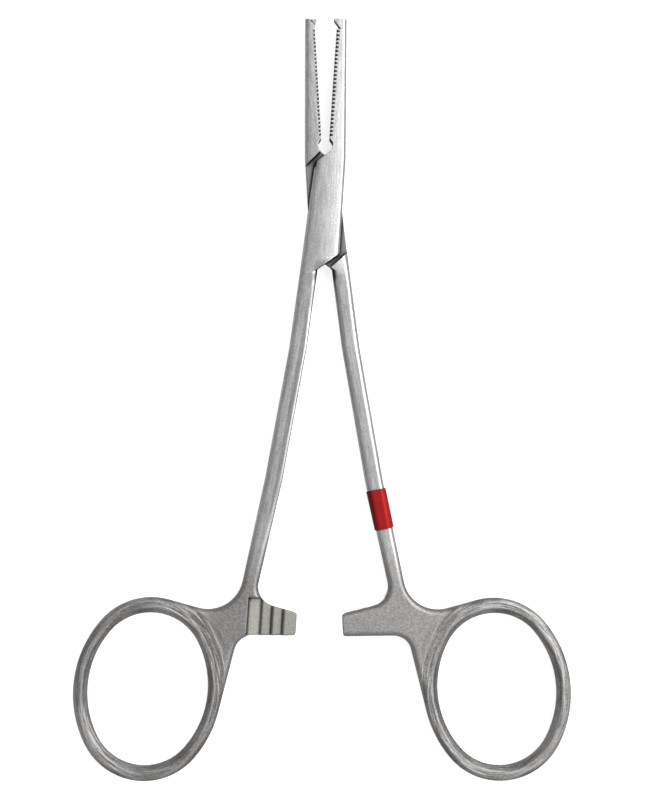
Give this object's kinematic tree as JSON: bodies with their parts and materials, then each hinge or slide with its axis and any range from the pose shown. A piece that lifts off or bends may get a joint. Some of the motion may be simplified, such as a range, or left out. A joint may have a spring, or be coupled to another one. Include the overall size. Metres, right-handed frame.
{
  "type": "haemostatic forceps",
  "caption": "Straight mosquito haemostat with a box lock, toothed serrated jaws, a ratchet, finger rings and a red marking band.",
  "frame": {"origin": "on the pivot axis, at the back face of the box", "axes": "+Y towards the jaw tips, +X towards the ring of the male half, +Z out of the front face"},
  "size_m": [0.0806, 0.1233, 0.0036],
  "materials": {
    "satin_steel": "satin ground stainless steel",
    "red_tape": "red instrument marking tape"
  },
  "bodies": {
    "box_side": {"box_half": "satin_steel", "pivot_pin": "satin_steel"},
    "male_side": {"male_half": "satin_steel", "marking_band": "red_tape"}
  },
  "joints": [
    {"name": "box_lock_pivot", "type": "hinge", "parent": "box_side", "child": "male_side", "pos_m": [0, 0, 0.0018], "axis": [0, 0, 1], "range_deg": [-7, 40]}
  ]
}
